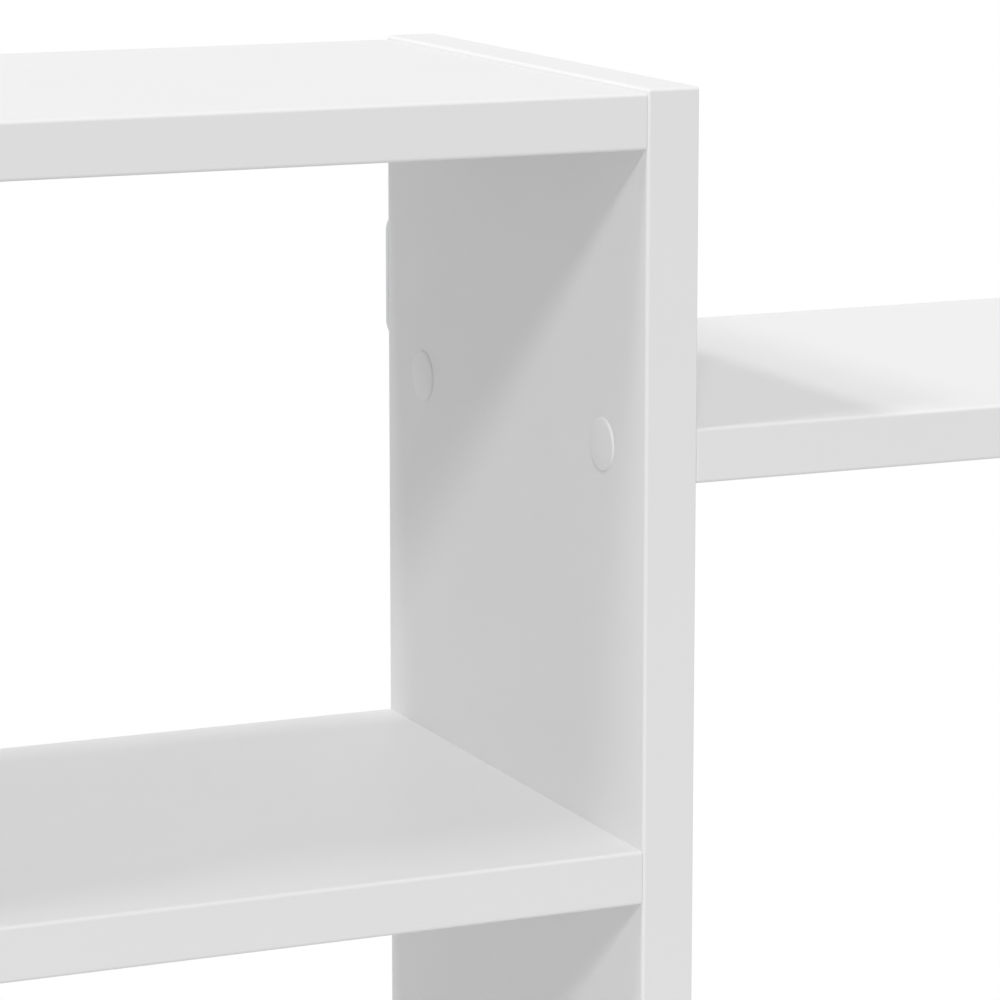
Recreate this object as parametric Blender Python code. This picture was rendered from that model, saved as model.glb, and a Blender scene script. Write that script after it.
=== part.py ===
"""Floating wall shelf: three boards between two side panels, with a wing board on each side.

Metres, +Z up, +X to the right, +Y towards the wall. The origin lies on the wall, midway between
the two hanger plates, at the height at which the wall screws carry the shelf.
"""
import math
from typing import NamedTuple

import bmesh
import bpy
from mathutils import Matrix, Vector

# Boards
STOCK_THICKNESS = 0.015
SHELF_DEPTH = 0.180
TOWER_CLEAR_WIDTH = 0.270
COMPARTMENT_HEIGHT = 0.190
PANEL_OVERHANG = 0.0012
WING_LENGTH = 0.250
WING_SETBACK = 0.0912
EDGE_RADIUS = 0.001
EDGE_STEPS = 2

# Clearance between pieces that touch, and how far a cut runs past a face
FIT_GAP = 0.0003
CUT_PAST = 0.001

# Connecting screws, two at each board end
SCREW_INSET = 0.027
SCREW_SINK = 0.0004
SCREW_HEAD_DIAMETER = 0.010
SCREW_HEAD_RIM = 0.0012
SCREW_NECK_DIAMETER = 0.007
SCREW_CORE_DIAMETER = 0.005
SCREW_BITE = 0.035
SCREW_TIP_LENGTH = 0.004
SCREW_TIP_DIAMETER = 0.002
SOCKET_ACROSS_FLATS = 0.004
SOCKET_DEPTH = 0.003
SOCKET_SIDES = 6

# Cover caps, one on each connecting screw
CAP_DIAMETER = 0.015
CAP_THICKNESS = 0.0009
CAP_RIM_ROUND = 0.0005
CAP_PEG_LENGTH = 0.0022

# Dowels, one at each board end
DOWEL_DIAMETER = 0.008
DOWEL_BITE = 0.020
DOWEL_SKIN = 0.0055
DOWEL_CHAMFER = 0.001

# Keyhole hanger plates and their wood screws
HANG_DROP = 0.067
HANGER_WIDTH = 0.015
HANGER_THICKNESS = 0.002
HANGER_EDGE_ROUND = 0.0003
HANGER_WEB = 0.0015
HANGER_END = 0.0016
KEYHOLE_ENTRY = 0.0095
KEYHOLE_SLOT = 0.005
KEYHOLE_TRAVEL = 0.011
POCKET_MARGIN = 0.0005
POCKET_DEPTH = 0.008
WOOD_SCREW_HEAD = 0.007
WOOD_SCREW_SHANK = 0.0035
WOOD_SCREW_LENGTH = 0.016
WOOD_SCREW_SINK = 0.0002
WOOD_SCREW_TIP_LENGTH = 0.003
WOOD_SCREW_TIP_DIAMETER = 0.001

# Facets round a hidden bore or shank, round a cap, and along an arc of an outline
BORE_STEPS = 12
CAP_STEPS = 24
ARC_STEPS = 8

# Edges that turn more than these angles are rounded, or shaded sharp
ROUNDED_ANGLE = math.radians(50)
SHARP_ANGLE = math.radians(35)

# Places worked out from the sizes above
HALF_CLEAR = TOWER_CLEAR_WIDTH / 2
REAR_Y = -(HANGER_THICKNESS + FIT_GAP)
FRONT_Y = REAR_Y - SHELF_DEPTH
MIDDLE_Y = (REAR_Y + FRONT_Y) / 2
PANEL_HEIGHT = 2 * PANEL_OVERHANG + 3 * STOCK_THICKNESS + 2 * COMPARTMENT_HEIGHT
PANEL_TOP = HANG_DROP
PANEL_BOTTOM = PANEL_TOP - PANEL_HEIGHT
BOARD_PITCH = STOCK_THICKNESS + COMPARTMENT_HEIGHT
TOP_BOARD_Z = PANEL_TOP - PANEL_OVERHANG - STOCK_THICKNESS / 2
RIGHT_WING_Z = PANEL_TOP - WING_SETBACK - STOCK_THICKNESS / 2
LEFT_WING_Z = PANEL_BOTTOM + WING_SETBACK + STOCK_THICKNESS / 2
BITE_DEPTH = STOCK_THICKNESS + FIT_GAP + SCREW_BITE
SIDES = {"left": -1, "right": 1}


class Ring(NamedTuple):
    """One cross-section of a turned body: its radius, its height and its flats (0 for a circle)."""

    radius: float
    height: float
    flats: int = 0


class Joint(NamedTuple):
    """One board end on a panel: the panel face that carries the caps, and its outward direction."""

    label: str
    panel: str
    board: str
    face_x: float
    outward: int
    height: float


def clear_scene() -> None:
    """Remove every object of the scene."""
    for obj in list(bpy.data.objects):
        bpy.data.objects.remove(obj, do_unlink=True)


def finish(name: str, colour: tuple, roughness: float, metallic: float) -> bpy.types.Material:
    """One plain surface finish."""
    material = bpy.data.materials.new(name)
    material.use_nodes = True
    shader = material.node_tree.nodes["Principled BSDF"]
    shader.inputs["Base Color"].default_value = (*colour, 1.0)
    shader.inputs["Roughness"].default_value = roughness
    shader.inputs["Metallic"].default_value = metallic
    return material


def white_melamine() -> bpy.types.Material:
    """Smooth white laminate on the boards."""
    return finish("white_melamine", (0.86, 0.86, 0.86), 0.38, 0.0)


def white_plastic() -> bpy.types.Material:
    """Moulded plastic of the cover caps."""
    return finish("white_cap_plastic", (0.84, 0.84, 0.84), 0.32, 0.0)


def zinc_steel() -> bpy.types.Material:
    """Zinc plate on the screws and hangers."""
    return finish("zinc_plated_steel", (0.62, 0.63, 0.65), 0.34, 1.0)


def beech() -> bpy.types.Material:
    """Bare beech of the dowels."""
    return finish("beech_dowel", (0.66, 0.47, 0.29), 0.6, 0.0)


def facing(point: Vector, towards: Vector) -> Matrix:
    """Placement at a point with local +Z along a direction and local +Y as upright as it can be."""
    return Matrix.Translation(point) @ towards.to_track_quat("Z", "Y").to_matrix().to_4x4()


def shape_ring(verts: list, ring: Ring, place: Matrix) -> None:
    """Move a loop of points onto a ring, each at its own angle about the axis."""
    back = place.inverted()
    for vert in verts:
        spot = back @ vert.co
        angle = math.atan2(spot.y, spot.x)
        reach = ring.radius
        if ring.flats:
            half_side = math.pi / ring.flats
            reach /= math.cos(angle % (2 * half_side) - half_side)
        vert.co = place @ Vector((reach * math.cos(angle), reach * math.sin(angle), ring.height))


def extrude_end(body: bmesh.types.BMesh, end: bmesh.types.BMFace) -> tuple:
    """Extrude an end face and return the new end and its points."""
    made = bmesh.ops.extrude_face_region(body, geom=[end, *end.edges])["geom"]
    new_end = next(item for item in made if isinstance(item, bmesh.types.BMFace))
    return new_end, list(new_end.verts)


def add_turned(body: bmesh.types.BMesh, rings: list, place=Matrix(), steps=BORE_STEPS) -> None:
    """Add one closed body: a round face that is extruded from ring to ring."""
    earlier = set(body.faces)
    radius = rings[0].radius
    disc = bmesh.ops.create_circle(body, cap_ends=True, radius=radius, segments=steps, matrix=place)
    verts = disc["verts"]
    end = verts[0].link_faces[0]
    shape_ring(verts, rings[0], place)
    for ring in rings[1:]:
        end, verts = extrude_end(body, end)
        shape_ring(verts, ring, place)
    bmesh.ops.recalc_face_normals(body, faces=[face for face in body.faces if face not in earlier])


def add_prism(body: bmesh.types.BMesh, outline: list, low: float, high: float, place=Matrix()) -> None:
    """Add one closed body: an outline in local X and Y, extruded from one height to another."""
    earlier = set(body.faces)
    base = body.faces.new([body.verts.new(place @ Vector((x, y, low))) for x, y in outline])
    verts = extrude_end(body, base)[1]
    bmesh.ops.translate(body, vec=place.to_3x3() @ Vector((0.0, 0.0, high - low)), verts=verts)
    bmesh.ops.recalc_face_normals(body, faces=[face for face in body.faces if face not in earlier])


def arc(centre_y: float, radius: float, start: float, end: float) -> list:
    """Points along an arc about a centre on the local Y axis."""
    turns = [start + (end - start) * step / ARC_STEPS for step in range(ARC_STEPS + 1)]
    return [(radius * math.cos(turn), centre_y + radius * math.sin(turn)) for turn in turns]


def stadium(radius: float, low: float, high: float) -> list:
    """Outline with round ends about two centres on the local Y axis."""
    return arc(high, radius, 0.0, math.pi) + arc(low, radius, math.pi, 2 * math.pi)


def keyhole(entry_radius: float, slot_radius: float, travel: float) -> list:
    """Outline of a round entry with a narrow slot above it that ends at the local origin."""
    meet = math.acos(slot_radius / entry_radius)
    entry = arc(-travel, entry_radius, math.pi - meet, 2 * math.pi + meet)
    return arc(0.0, slot_radius, 0.0, math.pi) + entry


def as_mesh(body: bmesh.types.BMesh, name: str, material=None) -> bpy.types.Mesh:
    """Turn a body into a mesh, shaded smooth between its sharp edges."""
    mesh = bpy.data.meshes.new(name)
    body.to_mesh(mesh)
    body.free()
    mesh.shade_smooth()
    mesh.set_sharp_from_angle(angle=SHARP_ANGLE)
    if material:
        mesh.materials.append(material)
    return mesh


def put(name: str, mesh, place: Matrix, parent) -> bpy.types.Object:
    """Add one named object at a placement."""
    obj = bpy.data.objects.new(name, mesh)
    bpy.context.scene.collection.objects.link(obj)
    obj.parent = parent
    obj.matrix_local = place
    return obj


def cut(obj: bpy.types.Object, body: bmesh.types.BMesh, parent) -> None:
    """Take a body of cuts out of an object."""
    cutter = put(f"{obj.name}_cuts", as_mesh(body, f"{obj.name}_cuts"), Matrix(), parent)
    cutter.hide_render = True
    cutter.display_type = "WIRE"
    modifier = obj.modifiers.new("cuts", "BOOLEAN")
    modifier.operation = "DIFFERENCE"
    modifier.solver = "EXACT"
    modifier.object = cutter


def round_edges(obj: bpy.types.Object, width: float, steps: int) -> None:
    """Round the long edges of an object."""
    modifier = obj.modifiers.new("edges", "BEVEL")
    modifier.width = width
    modifier.segments = steps
    modifier.limit_method = "ANGLE"
    modifier.angle_limit = ROUNDED_ANGLE


def screw_stem(spare: float) -> list:
    """Rings of a connecting screw from its head rim down, in the cap face's frame, grown by a clearance."""
    neck_end = STOCK_THICKNESS + spare / 2
    cone_start = SCREW_SINK + SCREW_HEAD_RIM
    cone_end = cone_start + (SCREW_HEAD_DIAMETER - SCREW_NECK_DIAMETER) / 2
    return [
        Ring(SCREW_HEAD_DIAMETER / 2 + spare, -cone_start),
        Ring(SCREW_NECK_DIAMETER / 2 + spare, -cone_end),
        Ring(SCREW_NECK_DIAMETER / 2 + spare, -neck_end),
        Ring(SCREW_CORE_DIAMETER / 2 + spare, -neck_end),
        Ring(SCREW_CORE_DIAMETER / 2 + spare, -(BITE_DEPTH - SCREW_TIP_LENGTH)),
        Ring(SCREW_TIP_DIAMETER / 2 + spare, -(BITE_DEPTH + spare)),
    ]


def connecting_screw(material: bpy.types.Material) -> bpy.types.Mesh:
    """Countersunk screw with a hexagon socket, a plain neck for the panel and a core for the board."""
    body = bmesh.new()
    head = [
        Ring(SOCKET_ACROSS_FLATS / 2, -(SCREW_SINK + SOCKET_DEPTH), SOCKET_SIDES),
        Ring(SOCKET_ACROSS_FLATS / 2, -SCREW_SINK, SOCKET_SIDES),
        Ring(SCREW_HEAD_DIAMETER / 2, -SCREW_SINK),
    ]
    add_turned(body, head + screw_stem(0.0))
    return as_mesh(body, "connecting_screw", material)


def screw_bore() -> list:
    """Stepped bore for a connecting screw, through the panel and into the board."""
    return [Ring(SCREW_HEAD_DIAMETER / 2 + FIT_GAP, CUT_PAST)] + screw_stem(FIT_GAP)


def cover_cap(material: bpy.types.Material) -> bpy.types.Mesh:
    """Disc with a rounded rim and a hexagon peg that presses into the screw's socket."""
    body = bmesh.new()
    peg_radius = SOCKET_ACROSS_FLATS / 2 - FIT_GAP
    rim = CAP_DIAMETER / 2
    top = FIT_GAP + CAP_THICKNESS
    shoulder = CAP_RIM_ROUND * (1 - math.sqrt(0.5))
    add_turned(body, [
        Ring(peg_radius, -(SCREW_SINK + CAP_PEG_LENGTH), SOCKET_SIDES),
        Ring(peg_radius, FIT_GAP, SOCKET_SIDES),
        Ring(rim, FIT_GAP),
        Ring(rim, top - CAP_RIM_ROUND),
        Ring(rim - shoulder, top - shoulder),
        Ring(rim - CAP_RIM_ROUND, top),
    ], steps=CAP_STEPS)
    return as_mesh(body, "cover_cap", material)


def dowel(material: bpy.types.Material) -> bpy.types.Mesh:
    """Beech dowel with chamfered ends."""
    body = bmesh.new()
    radius = DOWEL_DIAMETER / 2
    top = -(DOWEL_SKIN + FIT_GAP)
    bottom = -(STOCK_THICKNESS + FIT_GAP + DOWEL_BITE)
    add_turned(body, [
        Ring(radius - DOWEL_CHAMFER, top),
        Ring(radius, top - DOWEL_CHAMFER),
        Ring(radius, bottom + DOWEL_CHAMFER),
        Ring(radius - DOWEL_CHAMFER, bottom),
    ])
    return as_mesh(body, "dowel", material)


def dowel_bore() -> list:
    """Bore for a dowel, blind in the panel and in the board."""
    radius = DOWEL_DIAMETER / 2 + FIT_GAP
    return [Ring(radius, -DOWEL_SKIN), Ring(radius, -(STOCK_THICKNESS + DOWEL_BITE + 2 * FIT_GAP))]


def wood_screw_stem(spare: float) -> list:
    """Rings of a hanger's wood screw from under its head, in the wall's frame, grown by a clearance."""
    cone_end = WOOD_SCREW_SINK + (WOOD_SCREW_HEAD - WOOD_SCREW_SHANK) / 2
    return [
        Ring(WOOD_SCREW_HEAD / 2 + spare, -WOOD_SCREW_SINK),
        Ring(WOOD_SCREW_SHANK / 2 + spare, -cone_end),
        Ring(WOOD_SCREW_SHANK / 2 + spare, -(WOOD_SCREW_LENGTH - WOOD_SCREW_TIP_LENGTH)),
        Ring(WOOD_SCREW_TIP_DIAMETER / 2 + spare, -(WOOD_SCREW_LENGTH + spare)),
    ]


def wood_screw(material: bpy.types.Material) -> bpy.types.Mesh:
    """Countersunk wood screw."""
    body = bmesh.new()
    add_turned(body, wood_screw_stem(0.0))
    return as_mesh(body, "wood_screw", material)


def wood_screw_bore() -> list:
    """Countersink and bore for a wood screw, through the plate and into the panel's rear edge."""
    return [Ring(WOOD_SCREW_HEAD / 2 + FIT_GAP, CUT_PAST)] + wood_screw_stem(FIT_GAP)


def wood_screw_rise() -> float:
    """Distance of a wood screw's axis from the nearer end of the keyhole's travel."""
    return KEYHOLE_ENTRY / 2 + HANGER_WEB + WOOD_SCREW_HEAD / 2 + FIT_GAP


def hanger_plate(material: bpy.types.Material) -> bpy.types.Mesh:
    """Blank of a hanger plate with round ends; its face on the wall lies at the local zero height."""
    body = bmesh.new()
    end_reach = wood_screw_rise() + WOOD_SCREW_HEAD / 2 + FIT_GAP + HANGER_END
    end_radius = HANGER_WIDTH / 2
    outline = stadium(end_radius, end_radius - KEYHOLE_TRAVEL - end_reach, end_reach - end_radius)
    add_prism(body, outline, -HANGER_THICKNESS, 0.0)
    return as_mesh(body, "hanger_plate", material)


def fit_hanger(side: str, meshes: dict, drills: dict, parent) -> None:
    """Screw one keyhole hanger to a side panel's rear edge, over its routed pocket."""
    panel_x = SIDES[side] * (HALF_CLEAR + STOCK_THICKNESS / 2)
    wall = Vector((0.0, 1.0, 0.0))
    seat = facing(Vector((panel_x, 0.0, 0.0)), wall)
    panel_drill = drills[f"{side}_side_panel"]
    plate_drill = bmesh.new()
    opening = keyhole(KEYHOLE_ENTRY / 2, KEYHOLE_SLOT / 2, KEYHOLE_TRAVEL)
    add_prism(plate_drill, opening, -(HANGER_THICKNESS + CUT_PAST), CUT_PAST, seat)
    pocket = stadium(KEYHOLE_ENTRY / 2 + POCKET_MARGIN, -KEYHOLE_TRAVEL, 0.0)
    add_prism(panel_drill, pocket, REAR_Y - POCKET_DEPTH, REAR_Y + CUT_PAST, seat)
    rises = {"upper": wood_screw_rise(), "lower": -(KEYHOLE_TRAVEL + wood_screw_rise())}
    for end, rise in rises.items():
        spot = seat @ Matrix.Translation((0.0, rise, 0.0))
        put(f"{side}_hanger_{end}_screw", meshes["wood_screw"], spot, parent)
        add_turned(plate_drill, wood_screw_bore(), spot)
        add_turned(panel_drill, wood_screw_bore(), spot)
    plate = put(f"{side}_hanger_plate", meshes["hanger_plate"], seat, parent)
    round_edges(plate, HANGER_EDGE_ROUND, 1)
    cut(plate, plate_drill, parent)


def fit_joint(joint: Joint, meshes: dict, drills: dict, parent) -> None:
    """Fit one board end to its panel with two capped screws and a dowel between them."""
    rows = {"front": FRONT_Y + SCREW_INSET, "rear": REAR_Y - SCREW_INSET}
    outward = Vector((joint.outward, 0.0, 0.0))
    pieces = (drills[joint.panel], drills[joint.board])
    for end, depth in rows.items():
        place = facing(Vector((joint.face_x, depth, joint.height)), outward)
        put(f"{joint.label}_{end}_screw", meshes["screw"], place, parent)
        put(f"{joint.label}_{end}_cap", meshes["cap"], place, parent)
        for drill in pieces:
            add_turned(drill, screw_bore(), place)
    place = facing(Vector((joint.face_x, MIDDLE_Y, joint.height)), outward)
    put(f"{joint.label}_dowel", meshes["dowel"], place, parent)
    for drill in pieces:
        add_turned(drill, dowel_bore(), place)


def board_heights() -> dict:
    """Mid height of each board between the panels."""
    return {
        "top_board": TOP_BOARD_Z,
        "middle_board": TOP_BOARD_Z - BOARD_PITCH,
        "bottom_board": TOP_BOARD_Z - 2 * BOARD_PITCH,
    }


def wing_heights() -> dict:
    """Mid height of the wing board on each side."""
    return {"left": LEFT_WING_Z, "right": RIGHT_WING_Z}


def cutting_list() -> dict:
    """Centre and size of every board."""
    panel_x = HALF_CLEAR + STOCK_THICKNESS / 2
    panel_z = (PANEL_TOP + PANEL_BOTTOM) / 2
    wing_x = HALF_CLEAR + STOCK_THICKNESS + FIT_GAP + WING_LENGTH / 2
    boards = {}
    for side, sign in SIDES.items():
        boards[f"{side}_side_panel"] = (
            Vector((sign * panel_x, MIDDLE_Y, panel_z)),
            (STOCK_THICKNESS, SHELF_DEPTH, PANEL_HEIGHT))
        boards[f"{side}_wing_board"] = (
            Vector((sign * wing_x, MIDDLE_Y, wing_heights()[side])),
            (WING_LENGTH, SHELF_DEPTH, STOCK_THICKNESS))
    for name, height in board_heights().items():
        boards[name] = (
            Vector((0.0, MIDDLE_Y, height)),
            (TOWER_CLEAR_WIDTH - 2 * FIT_GAP, SHELF_DEPTH, STOCK_THICKNESS))
    return boards


def joints() -> list:
    """Every board end that is screwed to a panel; a wing's screws enter from inside the tower."""
    found = []
    for side, sign in SIDES.items():
        panel = f"{side}_side_panel"
        inner_face = sign * HALF_CLEAR
        outer_face = sign * (HALF_CLEAR + STOCK_THICKNESS)
        for name, height in board_heights().items():
            found.append(Joint(f"{name}_{side}", panel, name, outer_face, sign, height))
        wing_height = wing_heights()[side]
        found.append(Joint(f"{side}_wing", panel, f"{side}_wing_board", inner_face, -sign, wing_height))
    return found


def saw_board(name: str, centre: Vector, size: tuple, drill: bmesh.types.BMesh, material, parent) -> None:
    """Cut one board to size, round its edges and drill it."""
    body = bmesh.new()
    bmesh.ops.create_cube(body, size=1.0, matrix=Matrix.Diagonal((*size, 1.0)))
    board = put(name, as_mesh(body, name, material), Matrix.Translation(centre), parent)
    round_edges(board, EDGE_RADIUS, EDGE_STEPS)
    cut(board, drill, parent)


def build_shelf() -> None:
    """Build every piece of the shelf under one empty."""
    clear_scene()
    shelf = put("floating_wall_shelf", None, Matrix(), None)
    melamine = white_melamine()
    steel = zinc_steel()
    meshes = {
        "screw": connecting_screw(steel),
        "cap": cover_cap(white_plastic()),
        "dowel": dowel(beech()),
        "wood_screw": wood_screw(steel),
        "hanger_plate": hanger_plate(steel),
    }
    boards = cutting_list()
    drills = {name: bmesh.new() for name in boards}
    for joint in joints():
        fit_joint(joint, meshes, drills, shelf)
    for side in SIDES:
        fit_hanger(side, meshes, drills, shelf)
    for name, (centre, size) in boards.items():
        saw_board(name, centre, size, drills[name], melamine, shelf)


build_shelf()
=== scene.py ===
"""Looks of the floating wall shelf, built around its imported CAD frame.

Metres, +X to the right, +Y towards the wall, +Z up. Each finished piece stands for one CAD node and
keeps its place in its own mesh.
"""
from __future__ import annotations

import logging
import math
from contextlib import contextmanager
from dataclasses import dataclass, field
from enum import Enum
from itertools import pairwise
from typing import Callable, Iterator, NamedTuple, Sequence

import bpy
from mathutils import Matrix, Vector


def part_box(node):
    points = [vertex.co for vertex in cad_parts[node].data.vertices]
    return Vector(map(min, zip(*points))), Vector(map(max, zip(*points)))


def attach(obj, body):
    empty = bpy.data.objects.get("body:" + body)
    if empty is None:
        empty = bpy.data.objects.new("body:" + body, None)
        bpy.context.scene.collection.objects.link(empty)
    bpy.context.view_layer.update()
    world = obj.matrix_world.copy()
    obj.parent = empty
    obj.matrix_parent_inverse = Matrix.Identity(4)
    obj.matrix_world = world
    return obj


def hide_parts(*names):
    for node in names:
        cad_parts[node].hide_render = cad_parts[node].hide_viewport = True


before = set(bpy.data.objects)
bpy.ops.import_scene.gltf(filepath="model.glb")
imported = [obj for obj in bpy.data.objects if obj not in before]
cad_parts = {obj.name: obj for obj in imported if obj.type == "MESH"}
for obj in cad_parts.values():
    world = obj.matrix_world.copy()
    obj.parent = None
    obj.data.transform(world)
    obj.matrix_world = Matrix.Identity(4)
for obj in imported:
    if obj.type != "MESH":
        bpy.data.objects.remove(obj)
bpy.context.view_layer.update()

LOG = logging.getLogger("wall_shelf")
MM = 0.001
# The CAD's gap between pieces that touch, and the gap that the finished ones show.
FIT_GAP = 0.3 * MM
HAIRLINE = 0.02 * MM
# How far a tool body reaches past the face that it cuts.
CUT_PAST = 1.0 * MM
SHARP_ANGLE = math.radians(32)
ROUND_PROFILE = 0.5
HEXAGON_SIDES = 6
# The lowest and the highest corner in an object's bound_box.
BOX_ENDS = (0, 6)
# The range of a cell's random tone that is put to use.
CELL_TONES = (0.2, 0.8)

Colour = tuple[float, float, float]
Triple = tuple[float, float, float]
Body = bpy.types.Object
Material = bpy.types.Material
Socket = bpy.types.NodeSocket
Tree = bpy.types.NodeTree


class Slot(Enum):
    """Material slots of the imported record."""

    MELAMINE = "white_melamine"
    CAP = "white_cap_plastic"
    ZINC = "zinc_plated_steel"
    BEECH = "beech_dowel"


class Side(Enum):
    """Sides of the shelf, with their sign along X."""

    LEFT = -1
    RIGHT = 1

    @property
    def word(self) -> str:
        """The side's word in the names of pieces."""
        return self.name.lower()


class Face(Enum):
    """A face of a board: the axis it is square to, and 0 for the low or 1 for the high end of that axis."""

    LEFT = (0, 0)
    RIGHT = (0, 1)
    REAR = (1, 1)

    def holds(self, box: Sequence[Vector], edge: Sequence[Vector]) -> bool:
        """Whether both ends of an edge lie on this face of a box, given by its two end corners."""
        axis, end = self.value
        return all(abs(spot[axis] - box[end][axis]) < HAIRLINE / 2 for spot in edge)


class Work(Enum):
    """What one body does to another."""

    CUT = "DIFFERENCE"
    JOIN = "UNION"


class Ring(NamedTuple):
    """One cross-section of a turned body."""

    radius: float
    height: float


class Graph:
    """Adds, sets and links the nodes of one shader tree."""

    def __init__(self, tree: Tree) -> None:
        """Take the tree to work on."""
        self.tree = tree

    def feed(self, target: Socket, source: object) -> None:
        """Link a source to an input, or set the input's value.

        Args:
            target: The input.
            source: A source socket or a value.
        """
        if isinstance(source, Socket):
            self.tree.links.new(source, target)
        else:
            target.default_value = source

    def add(self, kind: str, inputs: dict | None = None, **settings: object) -> bpy.types.Node:
        """Add one node.

        Args:
            kind: The node's type without its common prefix.
            inputs: A value or a source socket for each input, by name or number.
            settings: The node's own properties.

        Returns:
            The new node.
        """
        prefix = "" if kind.startswith("NodeGroup") else "ShaderNode"
        node = self.tree.nodes.new(prefix + kind)
        for name, value in settings.items():
            setattr(node, name, value)
        for name, source in (inputs or {}).items():
            self.feed(node.inputs[name], source)
        return node

    def value(self, operation: str, *terms: object) -> Socket:
        """Work out one number from others by a named operation."""
        return self.add("Math", dict(enumerate(terms)), operation=operation).outputs[0]

    def spread(self, value: Socket, start: float, end: float,
               low: object = 0.0, high: object = 1.0) -> Socket:
        """Spread the range of a number from start to end over the range from low to high."""
        inputs = {"Value": value, "From Min": start, "From Max": end, "To Min": low, "To Max": high}
        return self.add("MapRange", inputs).outputs["Result"]

    def blend(self, share: object, first: object, second: object) -> Socket:
        """Blend two colours.

        Args:
            share: The second colour's share.
            first: The colour at share 0.
            second: The colour at share 1.

        Returns:
            The blended colour's socket.
        """
        node = self.add("Mix", data_type="RGBA")
        sources = {"Factor_Float": share, "A_Color": first, "B_Color": second}
        for socket in node.inputs:
            if socket.identifier in sources:
                self.feed(socket, sources[socket.identifier])
        return next(out for out in node.outputs if out.identifier == "Result_Color")


def new_effect(name: str, inputs: dict[str, str],
               outputs: dict[str, str]) -> tuple[Graph, dict, bpy.types.Node]:
    """Start a shared effect with named sockets.

    Args:
        name: The effect's name.
        inputs: Socket types by input name.
        outputs: Socket types by output name.

    Returns:
        The graph to fill, the source sockets by input name, and the output node.
    """
    tree = bpy.data.node_groups.new(name, "ShaderNodeTree")
    for direction, sockets in (("INPUT", inputs), ("OUTPUT", outputs)):
        for label, kind in sockets.items():
            tree.interface.new_socket(name=label, in_out=direction, socket_type=f"NodeSocket{kind}")
    graph = Graph(tree)
    start = graph.add("NodeGroupInput")
    end = graph.add("NodeGroupOutput")
    return graph, {label: start.outputs[label] for label in inputs}, end


@dataclass
class Effects:
    """Shared surface effects, each built once."""

    noise_range: tuple[float, float] = (0.3, 0.7)
    second_spot: Triple = (7.3, 2.9, 5.1)
    round_range: tuple[float, float] = (0.995, 0.93)
    band_range: tuple[float, float] = (0.7, 0.9)
    drift: Tree = field(init=False)
    tooth: Tree = field(init=False)
    edges: Tree = field(init=False)

    def __post_init__(self) -> None:
        """Build every effect."""
        self.drift = self.build_drift()
        self.tooth = self.build_tooth()
        self.edges = self.build_edges()

    @staticmethod
    def sized(graph: Graph, place: Socket, pitch: Socket) -> Socket:
        """Measure a place in pitches."""
        per_metre = graph.value("DIVIDE", 1.0, pitch)
        return graph.add("VectorMath", {0: place, "Scale": per_metre}, operation="SCALE").outputs[0]

    def build_drift(self) -> Tree:
        """Build the slow drift of tone and dullness over a sheet.

        Returns:
            The effect's tree, which puts out a colour and a roughness.
        """
        graph, given, end = new_effect(
            "tone_drift",
            {"Place": "Vector", "Pitch": "Float", "Tone": "Color", "Second Tone": "Color",
             "Smooth": "Float", "Dull": "Float"},
            {"Colour": "Color", "Roughness": "Float"})
        spot = self.sized(graph, given["Place"], given["Pitch"])
        slow = graph.add("TexNoise", {"Vector": spot, "Scale": 1.0, "Detail": 3.0, "Roughness": 0.55})
        share = graph.spread(slow.outputs["Fac"], *self.noise_range)
        shifted = graph.add("VectorMath", {0: spot, 1: self.second_spot}, operation="ADD").outputs[0]
        fine = graph.add("TexNoise", {"Vector": shifted, "Scale": 2.3, "Detail": 4.0})
        graph.feed(end.inputs["Colour"], graph.blend(share, given["Tone"], given["Second Tone"]))
        dullness = graph.spread(fine.outputs["Fac"], *self.noise_range, given["Smooth"], given["Dull"])
        graph.feed(end.inputs["Roughness"], dullness)
        return graph.tree

    def build_tooth(self) -> Tree:
        """Build the fine tooth that a pressed or moulded surface keeps.

        Returns:
            The effect's tree, which puts out a height.
        """
        graph, given, end = new_effect(
            "surface_tooth", {"Place": "Vector", "Pitch": "Float"}, {"Height": "Float"})
        spot = self.sized(graph, given["Place"], given["Pitch"])
        pores = graph.add("TexNoise", {"Vector": spot, "Scale": 1.0, "Detail": 2.0, "Roughness": 0.5})
        graph.feed(end.inputs["Height"], pores.outputs["Fac"])
        return graph.tree

    def build_edges(self) -> Tree:
        """Build the mask of rounded edges, where a surface turns away from all three axes.

        Returns:
            The effect's tree, which puts out a mask of the rounds and one of the front and rear bands.
        """
        graph, given, end = new_effect(
            "edge_rounds", {"Normal": "Vector"}, {"Rounds": "Float", "Bands": "Float"})
        sides = graph.add("VectorMath", {0: given["Normal"]}, operation="ABSOLUTE").outputs[0]
        split = graph.add("SeparateXYZ", {0: sides})
        largest = graph.value("MAXIMUM", split.outputs["X"], split.outputs["Y"])
        largest = graph.value("MAXIMUM", largest, split.outputs["Z"])
        graph.feed(end.inputs["Rounds"], graph.spread(largest, *self.round_range))
        graph.feed(end.inputs["Bands"], graph.spread(split.outputs["Y"], *self.band_range))
        return graph.tree


class Ground(NamedTuple):
    """What a finish is laid out on: a material's graph, the place in metres and the shared effects."""

    graph: Graph
    place: Socket
    effects: Effects


class Surface(NamedTuple):
    """Sockets of one material's changing values."""

    colour: Socket
    roughness: Socket
    height: Socket


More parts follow.
